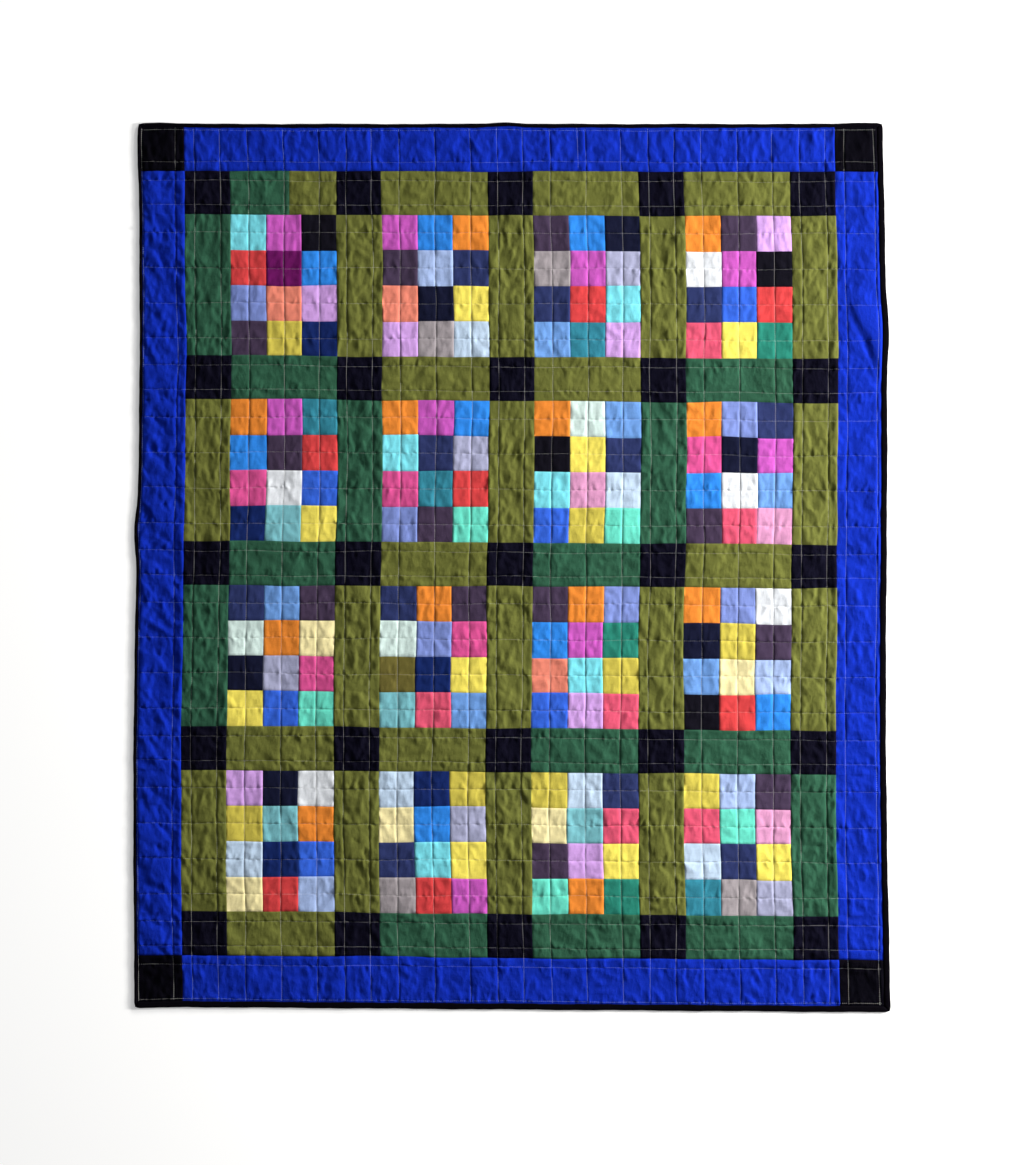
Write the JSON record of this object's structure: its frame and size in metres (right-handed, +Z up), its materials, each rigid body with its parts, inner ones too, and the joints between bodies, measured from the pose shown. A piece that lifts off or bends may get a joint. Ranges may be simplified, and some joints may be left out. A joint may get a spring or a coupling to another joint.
{
  "type": "patchwork quilt",
  "caption": "Flat lap-size patchwork quilt: blocks of small squares in a sashed lattice, plain border with corner squares, straight-line quilting and folded binding.",
  "frame": {"origin": "middle of the quilt's outline, on its underside, which is the surface it lies on", "axes": "+Z up out of the pieced face, +Y along the long side towards the top edge, +X along the short side to the right"},
  "size_m": [1.3496, 1.585, 0.0092],
  "materials": {
    "binding_black": "plain woven quilting cotton, folded double",
    "border_blue": "plain woven quilting cotton, royal blue",
    "corner_black": "plain woven quilting cotton, black",
    "post_navy": "plain woven quilting cotton, near-black navy",
    "sash_olive": "plain woven quilting cotton, olive",
    "sash_green": "plain woven quilting cotton, bottle green",
    "scraps": "plain woven quilting cottons in many solid colours",
    "backing": "plain woven cotton backing",
    "thread": "ecru cotton quilting thread"
  },
  "bodies": {
    "root": {"quilted_body": "sash_olive", "binding_top": "binding_black", "binding_right": "binding_black", "binding_bottom": "binding_black", "binding_left": "binding_black"}
  },
  "joints": []
}
